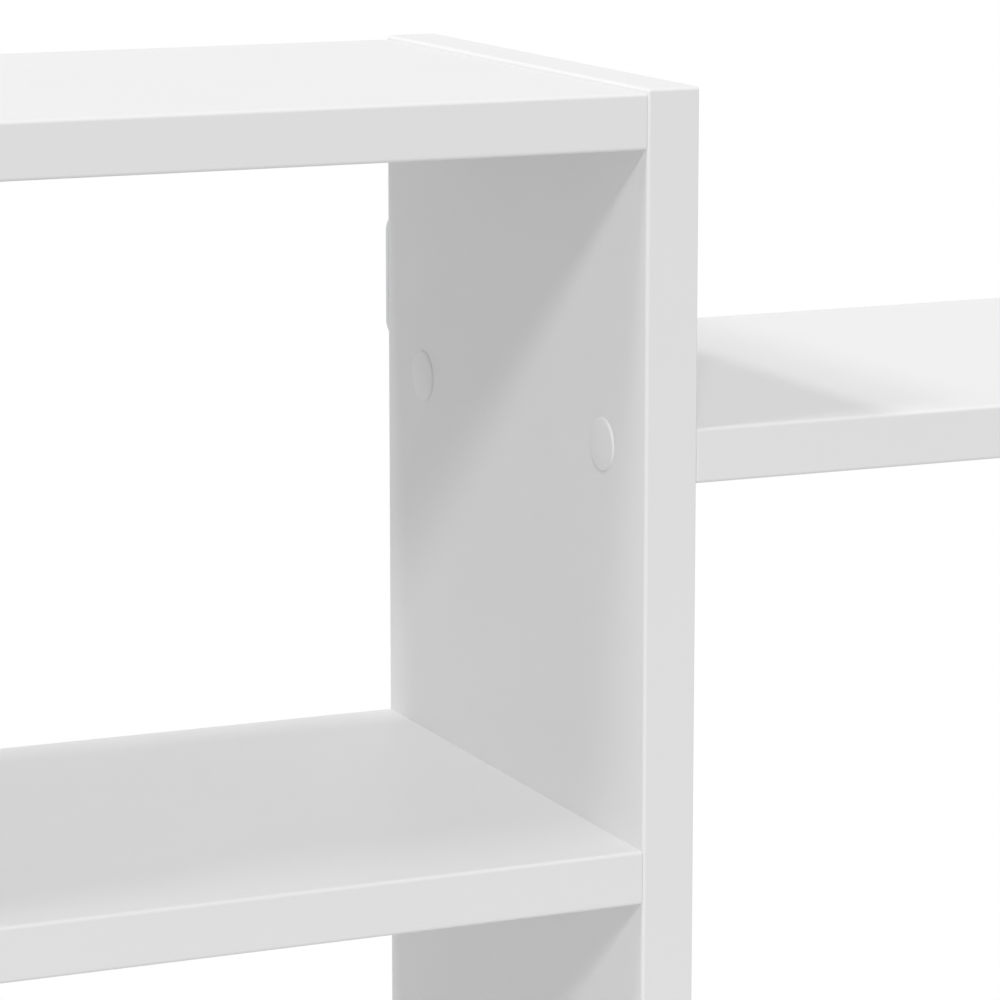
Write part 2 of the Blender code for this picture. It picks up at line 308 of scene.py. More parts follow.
@dataclass(frozen=True)
class Finish:
    """A finish that drifts slowly in tone and dullness and has a fine tooth."""

    name: str
    tone: Colour
    second_tone: Colour
    smooth: float
    dull: float
    drift_pitch: float = 60 * MM
    tooth_pitch: float = 0.5 * MM
    tooth_depth: float = 0.01 * MM
    metallic: float = 0.0
    specular: float = 0.5

    def surface(self, ground: Ground) -> Surface:
        """Lay out the values that change over the surface.

        Args:
            ground: What the finish is laid out on.

        Returns:
            The colour, roughness and height sockets.
        """
        graph, place, effects = ground
        drift = graph.add("Group", {
            "Place": place, "Pitch": self.drift_pitch, "Tone": (*self.tone, 1.0),
            "Second Tone": (*self.second_tone, 1.0), "Smooth": self.smooth, "Dull": self.dull,
        }, node_tree=effects.drift)
        tooth = graph.add("Group", {"Place": place, "Pitch": self.tooth_pitch}, node_tree=effects.tooth)
        return Surface(drift.outputs["Colour"], drift.outputs["Roughness"], tooth.outputs["Height"])

    def material(self, effects: Effects) -> Material:
        """Build the finish's material.

        Args:
            effects: The shared effects.

        Returns:
            The new material.
        """
        material = bpy.data.materials.new(self.name)
        material.use_nodes = True
        graph = Graph(material.node_tree)
        shader = material.node_tree.nodes["Principled BSDF"]
        place = graph.add("TexCoord").outputs["Object"]
        surface = self.surface(Ground(graph, place, effects))
        bump = graph.add("Bump", {"Strength": 1.0, "Distance": self.tooth_depth, "Height": surface.height})
        values = {"Base Color": surface.colour, "Roughness": surface.roughness,
                  "Normal": bump.outputs["Normal"], "Metallic": self.metallic,
                  "Specular IOR Level": self.specular}
        for name, source in values.items():
            graph.feed(shader.inputs[name], source)
        return material


@dataclass(frozen=True)
class Laminate(Finish):
    """Melamine faces with edge bands: the bands are a little duller, and the rounds a little smoother."""

    band_dulling: float = 0.04
    round_polish: float = 0.06

    def surface(self, ground: Ground) -> Surface:
        """Lay out the sheet, then set its bands and rounds apart.

        Args:
            ground: What the finish is laid out on.

        Returns:
            The colour, roughness and height sockets.
        """
        graph = ground.graph
        sheet = super().surface(ground)
        normal = graph.add("NewGeometry").outputs["Normal"]
        edges = graph.add("Group", {"Normal": normal}, node_tree=ground.effects.edges)
        dulling = graph.value("MULTIPLY", edges.outputs["Bands"], self.band_dulling)
        polish = graph.value("MULTIPLY", edges.outputs["Rounds"], self.round_polish)
        roughness = graph.value("SUBTRACT", graph.value("ADD", sheet.roughness, dulling), polish)
        return Surface(sheet.colour, roughness, sheet.height)


@dataclass(frozen=True)
class Plating(Finish):
    """Zinc plate: small crystals of two tones over a brushed ground."""

    crystal_pitch: float = 1.4 * MM
    crystal_share: float = 0.35
    crystal_dulling: float = 0.05

    def surface(self, ground: Ground) -> Surface:
        """Lay out the plate and its crystals.

        Args:
            ground: What the finish is laid out on.

        Returns:
            The colour, roughness and height sockets.
        """
        graph, place, _ = ground
        plate = super().surface(ground)
        cells = graph.add("TexVoronoi", {"Vector": place, "Scale": 1 / self.crystal_pitch})
        bright = graph.add("RGBToBW", {0: cells.outputs["Color"]}).outputs[0]
        share = graph.spread(bright, *CELL_TONES, 0.0, self.crystal_share)
        colour = graph.blend(share, plate.colour, (*self.second_tone, 1.0))
        dulling = graph.spread(bright, *CELL_TONES, -self.crystal_dulling, self.crystal_dulling)
        return Surface(colour, graph.value("ADD", plate.roughness, dulling), plate.height)


@dataclass(frozen=True)
class Timber(Finish):
    """Bare turned beech: pale grain along the piece with short darker flecks."""

    grain_stretch: Triple = (0.06, 1.0, 1.0)
    grain_pitch: float = 0.9 * MM
    fleck_tone: Colour = (0.42, 0.26, 0.13)
    fleck_range: tuple[float, float] = (0.58, 0.7)
    fleck_share: float = 0.55

    def surface(self, ground: Ground) -> Surface:
        """Lay out the ground tone, the grain and the flecks.

        Args:
            ground: What the finish is laid out on.

        Returns:
            The colour, roughness and height sockets.
        """
        graph, place, _ = ground
        wood = super().surface(ground)
        along = graph.add("Mapping", {"Vector": place, "Scale": self.grain_stretch}).outputs[0]
        noise = graph.add("TexNoise", {"Vector": along, "Scale": 1 / self.grain_pitch, "Detail": 4.0})
        grain = noise.outputs["Fac"]
        share = graph.value("MULTIPLY", graph.spread(grain, *self.fleck_range), self.fleck_share)
        return Surface(graph.blend(share, wood.colour, (*self.fleck_tone, 1.0)), wood.roughness, grain)


@dataclass(frozen=True)
class ChipCore(Finish):
    """Raw particle board: pressed chips of several tones with dark gaps."""

    chip_pitch: float = 0.9 * MM
    chip_stretch: Triple = (0.45, 1.0, 0.7)
    chip_share: float = 0.7
    gap_tone: Colour = (0.2, 0.12, 0.06)
    gap_reach: float = 0.05
    gap_share: float = 0.3

    def surface(self, ground: Ground) -> Surface:
        """Lay out the chips and the gaps between them.

        Args:
            ground: What the finish is laid out on.

        Returns:
            The colour, roughness and height sockets.
        """
        graph, place, _ = ground
        board = super().surface(ground)
        pressed = graph.add("Mapping", {"Vector": place, "Scale": self.chip_stretch}).outputs[0]
        layout = {"Vector": pressed, "Scale": 1 / self.chip_pitch}
        chips = graph.add("TexVoronoi", layout)
        tone = graph.add("RGBToBW", {0: chips.outputs["Color"]}).outputs[0]
        share = graph.spread(tone, *CELL_TONES, 0.0, self.chip_share)
        colour = graph.blend(share, board.colour, (*self.second_tone, 1.0))
        gaps = graph.add("TexVoronoi", layout, feature="DISTANCE_TO_EDGE").outputs["Distance"]
        edge = graph.spread(gaps, 0.0, self.gap_reach, self.gap_share, 0.0)
        return Surface(graph.blend(edge, colour, (*self.gap_tone, 1.0)), board.roughness, gaps)


@dataclass
class Palette:
    """Every finish of the shelf as a material."""

    effects: Effects
    laminate: Material = field(init=False)
    cap: Material = field(init=False)
    zinc: Material = field(init=False)
    beech: Material = field(init=False)
    core: Material = field(init=False)

    def __post_init__(self) -> None:
        """Build each finish over the shared effects."""
        effects = self.effects
        self.laminate = Laminate(
            "white_melamine_laminate", (0.86, 0.86, 0.86), (0.852, 0.852, 0.852), 0.44, 0.5,
            drift_pitch=90 * MM, tooth_pitch=0.6 * MM, tooth_depth=0.004 * MM, specular=0.2).material(effects)
        self.cap = Finish(
            "white_moulded_cap", (0.86, 0.86, 0.86), (0.852, 0.852, 0.852), 0.4, 0.46,
            drift_pitch=6 * MM, tooth_pitch=0.3 * MM, tooth_depth=0.004 * MM, specular=0.25).material(effects)
        self.zinc = Plating(
            "zinc_plate", (0.50, 0.51, 0.53), (0.58, 0.59, 0.60), 0.28, 0.38,
            drift_pitch=9 * MM, tooth_pitch=0.15 * MM, tooth_depth=0.004 * MM, metallic=1.0).material(effects)
        self.beech = Timber(
            "turned_beech", (0.68, 0.49, 0.31), (0.60, 0.42, 0.25), 0.55, 0.66,
            drift_pitch=8 * MM, tooth_pitch=0.4 * MM, tooth_depth=0.06 * MM).material(effects)
        self.core = ChipCore(
            "raw_chip_core", (0.58, 0.43, 0.26), (0.42, 0.28, 0.15), 0.8, 0.92,
            drift_pitch=12 * MM, tooth_pitch=0.5 * MM, tooth_depth=0.12 * MM).material(effects)


def take_up(obj: Body) -> None:
    """Make one object the only selected and active one.

    Args:
        obj: The object to work on.
    """
    bpy.ops.object.select_all(action="DESELECT")
    obj.select_set(True)
    bpy.context.view_layer.objects.active = obj


@contextmanager
def editing(obj: Body) -> Iterator[None]:
    """Work on an object's mesh in edit mode.

    Args:
        obj: The object to work on.
    """
    take_up(obj)
    bpy.ops.object.mode_set(mode="EDIT")
    yield
    bpy.ops.object.mode_set(mode="OBJECT")


def settle(name: str) -> Body:
    """Put the active object's place, turn and size into its mesh, and name it.

    Args:
        name: The object's name.

    Returns:
        The active object.
    """
    bpy.ops.object.transform_apply(location=True, rotation=True, scale=True)
    obj = bpy.context.active_object
    obj.name = name
    return obj


def moved(obj: Body, place: Matrix) -> Body:
    """Move an object, with its place put into its mesh.

    Args:
        obj: The object.
        place: Its placement.

    Returns:
        The object.
    """
    obj.matrix_world = place
    take_up(obj)
    return settle(obj.name)


def pick_vertices(obj: Body, test: Callable[[Vector], bool]) -> None:
    """Select the points of a mesh that pass a test, and nothing else.

    Args:
        obj: The object whose mesh is selected from.
        test: Says of a point's place whether it is picked.
    """
    mesh = obj.data
    bpy.context.tool_settings.mesh_select_mode = (True, False, False)
    mesh.polygons.foreach_set("select", [False] * len(mesh.polygons))
    mesh.edges.foreach_set("select", [False] * len(mesh.edges))
    mesh.vertices.foreach_set("select", [test(vertex.co) for vertex in mesh.vertices])


def round_edges(obj: Body, test: Callable[[Vector, Vector], bool], radius: float, steps: int) -> None:
    """Round the edges of a mesh that pass a test.

    Args:
        obj: The object whose mesh is worked on.
        test: Says of an edge's two ends whether it is rounded.
        radius: The radius of the round.
        steps: The number of flats across the round.
    """
    mesh = obj.data
    bpy.context.tool_settings.mesh_select_mode = (False, True, False)
    mesh.polygons.foreach_set("select", [False] * len(mesh.polygons))
    mesh.vertices.foreach_set("select", [False] * len(mesh.vertices))
    ends = [[mesh.vertices[index].co for index in edge.vertices] for edge in mesh.edges]
    mesh.edges.foreach_set("select", [test(*pair) for pair in ends])
    with editing(obj):
        bpy.ops.mesh.bevel(offset=radius, segments=steps, profile=ROUND_PROFILE, affect="EDGES")


def facing(point: Vector, towards: Vector) -> Matrix:
    """Placement at a point with local +Z in a direction and local +Y as upright as it can be."""
    return Matrix.Translation(point) @ towards.to_track_quat("Z", "Y").to_matrix().to_4x4()


def block(name: str, low: Vector, high: Vector) -> Body:
    """Add a block between two corners.

    Args:
        name: The object's name.
        low: The lowest corner.
        high: The highest corner.

    Returns:
        The new object.
    """
    bpy.ops.mesh.primitive_cube_add(size=1.0, location=(low + high) / 2)
    bpy.context.active_object.scale = high - low
    return settle(name)


def turned(name: str, rings: Sequence[Ring], steps: int) -> Body:
    """Model a turned body: a disc that is extruded and resized from ring to ring.

    Args:
        name: The object's name.
        rings: The cross-sections along local Z.
        steps: The number of sides round the axis.

    Returns:
        The new object.
    """
    start = rings[0]
    bpy.ops.mesh.primitive_circle_add(
        vertices=steps, radius=start.radius, fill_type="NGON", location=(0.0, 0.0, start.height))
    obj = settle(name)
    with editing(obj):
        bpy.ops.mesh.select_all(action="SELECT")
        for last, ring in pairwise(rings):
            bpy.ops.mesh.extrude_region_move(
                TRANSFORM_OT_translate={"value": (0.0, 0.0, ring.height - last.height)})
            share = ring.radius / last.radius
            bpy.ops.transform.resize(value=(share, share, 1.0), center_override=(0.0, 0.0, ring.height))
        bpy.ops.mesh.select_all(action="SELECT")
        bpy.ops.mesh.normals_make_consistent(inside=False)
    return obj


def hexagon(name: str, across_flats: float, low: float, high: float) -> Body:
    """Add an upright hexagon prism.

    Args:
        name: The object's name.
        across_flats: The distance between two opposite flats.
        low: The height of its foot.
        high: The height of its top.

    Returns:
        The new object.
    """
    radius = across_flats / 2 / math.cos(math.pi / HEXAGON_SIDES)
    bpy.ops.mesh.primitive_cylinder_add(
        vertices=HEXAGON_SIDES, radius=radius, depth=high - low, location=(0.0, 0.0, (low + high) / 2),
        rotation=(0.0, 0.0, math.pi / 2))
    return settle(name)


def stadium(name: str, radius: float, low_end: float, high_end: float, low: float, high: float,
            steps: int) -> Body:
    """Model a slab with round ends: a round slab whose two halves are moved apart along local Y.

    Args:
        name: The object's name.
        radius: The radius of the ends.
        low_end: The lower end's centre along Y.
        high_end: The upper end's centre along Y.
        low: The height of its underside.
        high: The height of its top.
        steps: The number of sides round both ends.

    Returns:
        The new object.
    """
    bpy.ops.mesh.primitive_cylinder_add(
        vertices=steps, radius=radius, depth=high - low, location=(0.0, 0.0, (low + high) / 2),
        rotation=(0.0, 0.0, math.pi / steps))
    obj = settle(name)
    for sign, shift in ((1, high_end), (-1, low_end)):
        pick_vertices(obj, lambda spot, sign=sign: sign * spot.y > 0)
        with editing(obj):
            bpy.ops.transform.translate(value=(0.0, shift, 0.0))
    return obj


def work(target: Body, tool: Body, kind: Work) -> None:
    """Cut a tool body out of a piece or join it on; the cut faces take the tool's material.

    Args:
        target: The piece.
        tool: The tool body, which is used up.
        kind: Whether to cut or to join.
    """
    modifier = target.modifiers.new("work", "BOOLEAN")
    modifier.operation = kind.value
    modifier.solver = "EXACT"
    modifier.material_mode = "TRANSFER"
    modifier.object = tool
    take_up(target)
    bpy.ops.object.modifier_apply(modifier=modifier.name)
    bpy.data.objects.remove(tool)


def thread(root: float, crest: float, foot: float, pitch: float, start: float, turns: int,
           steps: int) -> Body:
    """Model a screw thread: a triangle that is swept round and along local Z.

    Args:
        root: The radius of the triangle's foot.
        crest: The radius of its crest.
        foot: The height of its foot.
        pitch: The rise of one turn.
        start: The height at which it starts.
        turns: The number of turns.
        steps: The number of sides in one turn.

    Returns:
        The new object.
    """
    bpy.ops.mesh.primitive_circle_add(
        vertices=3, radius=1.0, fill_type="NOTHING", rotation=(math.pi / 2, math.pi / 2, 0.0))
    obj = settle("thread")
    low, high = (Vector(obj.bound_box[corner]) for corner in BOX_ENDS)
    obj.scale = ((crest - root) / (high.x - low.x), 1.0, foot / (high.z - low.z))
    obj.location = (root - low.x * obj.scale.x, 0.0, start)
    settle(obj.name)
    sweep = obj.modifiers.new("sweep", "SCREW")
    sweep.angle = 2 * math.pi
    sweep.screw_offset = pitch
    sweep.iterations = turns
    sweep.steps = steps
    sweep.render_steps = steps
    bpy.ops.object.modifier_apply(modifier=sweep.name)
    with editing(obj):
        bpy.ops.mesh.select_all(action="SELECT")
        bpy.ops.mesh.fill_holes(sides=0)
        bpy.ops.mesh.normals_make_consistent(inside=False)
    return obj


def copy_of(master: Body, name: str, place: Matrix) -> Body:
    """Copy a modelled piece to a place, with a mesh of its own.

    Args:
        master: The piece to copy.
        name: The copy's name.
        place: The copy's placement.

    Returns:
        The copy.
    """
    obj = master.copy()
    obj.data = master.data.copy()
    obj.name = name
    bpy.context.scene.collection.objects.link(obj)
    return moved(obj, place)


def coat(obj: Body, material: Material) -> Body:
    """Give an object one material.

    Args:
        obj: The object.
        material: Its material.

    Returns:
        The object.
    """
    obj.data.materials.clear()
    obj.data.materials.append(material)
    return obj


def smooth(obj: Body) -> None:
    """Shade an object smooth between its sharp edges, with its flat faces truly flat.

    Args:
        obj: The object.
    """
    take_up(obj)
    bpy.ops.object.shade_smooth_by_angle(angle=SHARP_ANGLE)
    even = obj.modifiers.new("even", "WEIGHTED_NORMAL")
    even.keep_sharp = True
    bpy.ops.object.modifier_apply(modifier=even.name)


def hand_over(piece: Body, node: str) -> None:
    """Let a finished piece stand for its CAD node.

    Args:
        piece: The finished piece.
        node: The CAD node's name.
    """
    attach(piece, "root")
    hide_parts(node)
    LOG.info("%s stands for %s with %d faces", piece.name, node, len(piece.data.polygons))


def stand_in(master: Body, node: str, place: Matrix) -> None:
    """Put a copy of a master in the place of a CAD node."""
    hand_over(copy_of(master, f"{node}_finished", place), node)


@dataclass(frozen=True)
class ConnectingScrew:
    """Countersunk furniture screw with a hexagon socket, a plain neck and a coarse thread."""

    sink: float = 0.4 * MM
    head_radius: float = 5.0 * MM
    head_edge: float = 0.25 * MM
    head_rim: float = 1.2 * MM
    neck_radius: float = 3.5 * MM
    neck_end: float = 15.0 * MM
    core_radius: float = 2.5 * MM
    length: float = 50.3 * MM
    tip_length: float = 4.0 * MM
    tip_radius: float = 1.0 * MM
    socket_flats: float = 4.0 * MM
    socket_depth: float = 3.0 * MM
    crest_radius: float = 3.3 * MM
    root_sink: float = 0.3 * MM
    thread_foot: float = 1.7 * MM
    thread_pitch: float = 3.0 * MM
    thread_turns: int = 9
    bore_spare: float = 0.1 * MM
    steps: int = 24

    def stem(self, core: float, spare: float) -> list[Ring]:
        """Rings from the head's rim down.

        Args:
            core: The radius below the neck.
            spare: The clearance that is added all round.

        Returns:
            The rings.
        """
        cone = self.sink + self.head_rim
        cone_end = cone + self.head_radius - self.neck_radius
        return [
            Ring(self.head_radius + spare, -cone),
            Ring(self.neck_radius + spare, -cone_end),
            Ring(self.neck_radius + spare, -self.neck_end - spare / 2),
            Ring(core + spare, -self.neck_end - spare / 2),
            Ring(core + spare, self.tip_length - self.length),
            Ring(self.tip_radius + spare, -self.length - spare),
        ]

    def model(self) -> Body:
        """Model the screw with its socket and thread, its panel face at height 0.

        Returns:
            The screw.
        """
        head = [Ring(self.head_radius - self.head_edge, -self.sink),
                Ring(self.head_radius, -self.sink - self.head_edge)]
        screw = turned("connecting_screw", head + self.stem(self.core_radius, 0.0), self.steps)
        socket = hexagon("socket", self.socket_flats, -self.sink - self.socket_depth, CUT_PAST)
        work(screw, socket, Work.CUT)
        start = self.tip_length - self.length + self.thread_pitch / 2
        winding = thread(self.core_radius - self.root_sink, self.crest_radius, self.thread_foot,
                         self.thread_pitch, start, self.thread_turns, self.steps)
        work(screw, winding, Work.JOIN)
        return screw

    def bore(self) -> Body:
        """Model the stepped bore that takes the screw and clears its thread.

        Returns:
            The bore as a tool body.
        """
        mouth = [Ring(self.head_radius + FIT_GAP, CUT_PAST)]
        core = self.crest_radius + self.bore_spare - FIT_GAP
        return turned("screw_bore", mouth + self.stem(core, FIT_GAP), self.steps)


@dataclass(frozen=True)
class CoverCap:
    """Round press-in cap: a low crowned disc with a soft rim and a hexagon peg."""

    radius: float = 7.5 * MM
    rise: float = 1.1 * MM
    crown: float = 0.45 * MM
    rim_reach: float = 0.9 * MM
    peg_flats: float = 3.4 * MM
    peg_end: float = 2.6 * MM
    crown_reach: float = 0.97
    round_steps: int = 7
    crown_steps: int = 5
    steps: int = 96

    def rings(self) -> list[Ring]:
        """Rings of the disc from its underside over its rim to its crown.

        Returns:
            The rings.
        """
        rings = []
        shoulder = self.rise - self.crown - HAIRLINE
        inner = self.radius - self.rim_reach
        for step in range(self.round_steps):
            turn = math.pi / 2 * step / self.round_steps
            rings.append(Ring(inner + self.rim_reach * math.cos(turn), HAIRLINE + shoulder * math.sin(turn)))
        rings.append(Ring(inner, self.rise - self.crown))
        for step in range(1, self.crown_steps + 1):
            share = 1 - self.crown_reach * step / self.crown_steps
            rings.append(Ring(inner * share, self.rise - self.crown * share * share))
        return rings

    def model(self) -> Body:
        """Model the cap, the panel's face at height 0.

        Returns:
            The cap.
        """
        cap = turned("cover_cap", self.rings(), self.steps)
        work(cap, hexagon("peg", self.peg_flats, -self.peg_end, self.rise / 2), Work.JOIN)
        return cap


@dataclass(frozen=True)
class Dowel:
    """Fluted beech dowel with chamfered ends."""

    radius: float = 4.0 * MM
    chamfer: float = 1.0 * MM
    start: float = 5.8 * MM
    end: float = 35.3 * MM
    bore_start: float = 5.5 * MM
    bore_end: float = 35.6 * MM
    flute_depth: float = 0.25 * MM
    flute_reach: float = 0.1
    steps: int = 48

    def model(self) -> Body:
        """Model the dowel and press its flutes: every other side edge is drawn in.

        Returns:
            The dowel.
        """
        dowel = turned("dowel", [
            Ring(self.radius - self.chamfer, -self.start),
            Ring(self.radius, -self.start - self.chamfer),
            Ring(self.radius, self.chamfer - self.end),
            Ring(self.radius - self.chamfer, -self.end),
        ], self.steps)
        slice_angle = 4 * math.pi / self.steps

        def in_flute(spot: Vector) -> bool:
            """Whether a point is on the full radius at every other step."""
            turn = math.atan2(spot.y, spot.x) / slice_angle
            outside = math.hypot(spot.x, spot.y) > self.radius - self.chamfer / 2
            return outside and abs(turn - round(turn)) < self.flute_reach

        pick_vertices(dowel, in_flute)
        share = 1 - self.flute_depth / self.radius
        with editing(dowel):
            bpy.ops.transform.resize(value=(share, share, 1.0), center_override=(0.0, 0.0, 0.0))
        return dowel

    def bore(self) -> Body:
        """Model the blind bore that takes the dowel, as a tool body."""
        rings = [Ring(self.radius + FIT_GAP, -height) for height in (self.bore_start, self.bore_end)]
        return turned("dowel_bore", rings, self.steps // 2)


@dataclass(frozen=True)
class WoodScrew:
    """Countersunk wood screw with a cross recess and a thread."""

    sink: float = 0.2 * MM
    head_radius: float = 3.5 * MM
    head_edge: float = 0.15 * MM
    shoulder: float = 0.5 * MM
    shank_radius: float = 1.75 * MM
    core_radius: float = 1.25 * MM
    length: float = 16.0 * MM
    tip_length: float = 3.0 * MM
    tip_radius: float = 0.5 * MM
    recess_width: float = 0.9 * MM
    recess_reach: float = 2.1 * MM
    recess_depth: float = 1.3 * MM
    recess_taper: Triple = (0.45, 0.7, 1.0)
    root_sink: float = 0.2 * MM
    thread_foot: float = 0.6 * MM
    thread_pitch: float = 1.3 * MM
    thread_turns: int = 8
    thread_steps: int = 25
    steps: int = 30

    def stem(self, radius: float, spare: float) -> list[Ring]:
        """Rings from under the head down.

        Args:
            radius: The shank's radius.
            spare: The clearance that is added all round.

        Returns:
            The rings.
        """
        cone_end = self.sink + self.head_radius - self.shank_radius
        return [
            Ring(self.shank_radius + spare, -cone_end),
            Ring(radius + spare, -cone_end - self.shoulder),
            Ring(radius + spare, self.tip_length - self.length),
            Ring(self.tip_radius + spare, -self.length - spare),
        ]

    def model(self) -> Body:
        """Model the screw, the wall plane at height 0.

        Returns:
            The screw.
        """
        head = [Ring(self.head_radius - self.head_edge, -self.sink),
                Ring(self.head_radius, -self.sink - self.head_edge)]
        screw = turned("wood_screw", head + self.stem(self.core_radius, 0.0), self.steps)
        for turn in (0.0, math.pi / 2):
            reach, half = self.recess_reach, self.recess_width / 2
            floor = -self.sink - self.recess_depth
            wing = block("recess", Vector((-reach, -half, floor)), Vector((reach, half, CUT_PAST)))
            pick_vertices(wing, lambda spot: spot.z < -self.sink)
            with editing(wing):
                bpy.ops.transform.resize(value=self.recess_taper, center_override=(0.0, 0.0, 0.0))
            wing.rotation_euler = (0.0, 0.0, turn)
            take_up(wing)
            work(screw, settle(wing.name), Work.CUT)
        start = self.tip_length - self.length + self.thread_pitch / 2
        winding = thread(self.core_radius - self.root_sink, self.shank_radius, self.thread_foot,
                         self.thread_pitch, start, self.thread_turns, self.thread_steps)
        work(screw, winding, Work.JOIN)
        return screw

    def bore(self) -> Body:
        """Model the countersink and bore that take the screw.

        Returns:
            The bore as a tool body.
        """
        radius = self.head_radius + FIT_GAP
        mouth = [Ring(radius, CUT_PAST), Ring(radius, -self.sink)]
        return turned("wood_screw_bore", mouth + self.stem(self.shank_radius, FIT_GAP), self.steps)


@dataclass(frozen=True)
class HangerPlate:
    """Keyhole hanger: a steel plate with round ends, a keyhole and two countersunk holes."""

    radius: float = 7.5 * MM
    thickness: float = 2.0 * MM
    reach_up: float = 15.45 * MM
    reach_down: float = 26.45 * MM
    edge_round: float = 0.3 * MM
    edge_steps: int = 3
    slot_radius: float = 2.5 * MM
    entry_radius: float = 4.75 * MM
    travel: float = 11.0 * MM
    screw_up: float = 10.05 * MM
    screw_down: float = 21.05 * MM
    pocket_radius: float = 5.25 * MM
    pocket_floor: float = 10.3 * MM
    steps: int = 64

    @property
    def screw_rises(self) -> dict[str, float]:
        """Height of each wood screw above the seat, by its word."""
        return {"upper": self.screw_up, "lower": -self.screw_down}

    def model(self, screw: WoodScrew) -> Body:
        """Model the plate, its face on the wall at height 0 and the wall screw's seat at the origin.

        Args:
            screw: The wood screw that the plate is countersunk for.

        Returns:
            The plate.
        """
        ends = (self.radius - self.reach_down, self.reach_up - self.radius)
        underside = HAIRLINE - FIT_GAP - self.thickness
        plate = stadium("hanger_plate", self.radius, *ends, underside, 0.0, self.steps)
        round_edges(plate, lambda first, second: abs(first.z - second.z) < self.edge_round,
                    self.edge_round, self.edge_steps)
        depth = underside - CUT_PAST
        slot = stadium("slot", self.slot_radius, -self.travel, 0.0, depth, CUT_PAST, self.steps // 2)
        work(plate, slot, Work.CUT)
        rings = [Ring(self.entry_radius, height) for height in (depth, CUT_PAST)]
        entry = turned("entry", rings, self.steps // 2)
        work(plate, moved(entry, Matrix.Translation((0.0, -self.travel, 0.0))), Work.CUT)
        for rise in self.screw_rises.values():
            work(plate, moved(screw.bore(), Matrix.Translation((0.0, rise, 0.0))), Work.CUT)
        return plate

    def pocket(self) -> Body:
        """Model the routed pocket behind the keyhole, as a tool body."""
        heights = (-self.pocket_floor, CUT_PAST - self.thickness)
        return stadium("pocket", self.pocket_radius, -self.travel, 0.0, *heights, self.steps // 2)


@dataclass
class Masters:
    """The pieces and tool bodies that repeat, each modelled once and then copied."""

    palette: Palette
    pieces: dict[str, Body] = field(init=False)
    tools: dict[str, Body] = field(init=False)
    hanger: HangerPlate = field(default_factory=HangerPlate)

    def __post_init__(self) -> None:
        """Model and dress every master."""
        screw, dowel, wood_screw = ConnectingScrew(), Dowel(), WoodScrew()
        self.pieces = {
            "screw": coat(screw.model(), self.palette.zinc),
            "cap": coat(CoverCap().model(), self.palette.cap),
            "dowel": coat(dowel.model(), self.palette.beech),
            "wood_screw": coat(wood_screw.model(), self.palette.zinc),
            "plate": coat(self.hanger.model(wood_screw), self.palette.zinc),
        }
        for piece in self.pieces.values():
            smooth(piece)
        bodies = {"screw": screw.bore(), "dowel": dowel.bore(), "wood_screw": wood_screw.bore(),
                  "pocket": self.hanger.pocket()}
        self.tools = {name: coat(body, self.palette.core) for name, body in bodies.items()}

    def put_away(self) -> None:
        """Remove the masters once every copy is made."""
        for obj in (*self.pieces.values(), *self.tools.values()):
            bpy.data.objects.remove(obj)


@dataclass
class Board:
    """One laminated board with rounded edges, drilled for its fasteners."""

    node: str
    butted: tuple[Face, ...] = ()
    fine_faces: tuple[Face, ...] = ()
    fine_radius: float = 0.25 * MM
    edge_radius: float = 1.0 * MM
    edge_steps: int = 5
    set_back: float = 0.0
    drills: list[Body] = field(default_factory=list)

    def drill(self, tool: Body, place: Matrix) -> None:
        """Mark out one bore by a copy of its tool body."""
        self.drills.append(copy_of(tool, f"{self.node}_bore", place))

    def saw(self) -> Body:
        """Saw the board to its CAD size, its butted ends closed up to a hairline and its front set back.

        Returns:
            The board with its edges rounded, more finely on its fine faces.
        """
        low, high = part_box(self.node)
        reach = FIT_GAP - HAIRLINE
        low.x -= reach if Face.LEFT in self.butted else 0.0
        high.x += reach if Face.RIGHT in self.butted else 0.0
        low.y += self.set_back
        board = block(f"{self.node}_finished", low, high)

        def is_fine(*edge: Vector) -> bool:
            """Whether an edge lies on a fine face."""
            return any(face.holds((low, high), edge) for face in self.fine_faces)

        round_edges(board, lambda *edge: not is_fine(*edge), self.edge_radius, self.edge_steps)
        if self.fine_faces:
            round_edges(board, is_fine, self.fine_radius, self.edge_steps)
        return board

    def build(self, palette: Palette) -> None:
        """Saw and round the board, drill it and hand it over.

        Args:
            palette: The finishes.
        """
        board = coat(self.saw(), palette.laminate)
        bores = self.drills[0]
        take_up(bores)
        for drill in self.drills:
            drill.select_set(True)
        bpy.ops.object.join()
        work(board, bores, Work.CUT)
        smooth(board)
        hand_over(board, self.node)


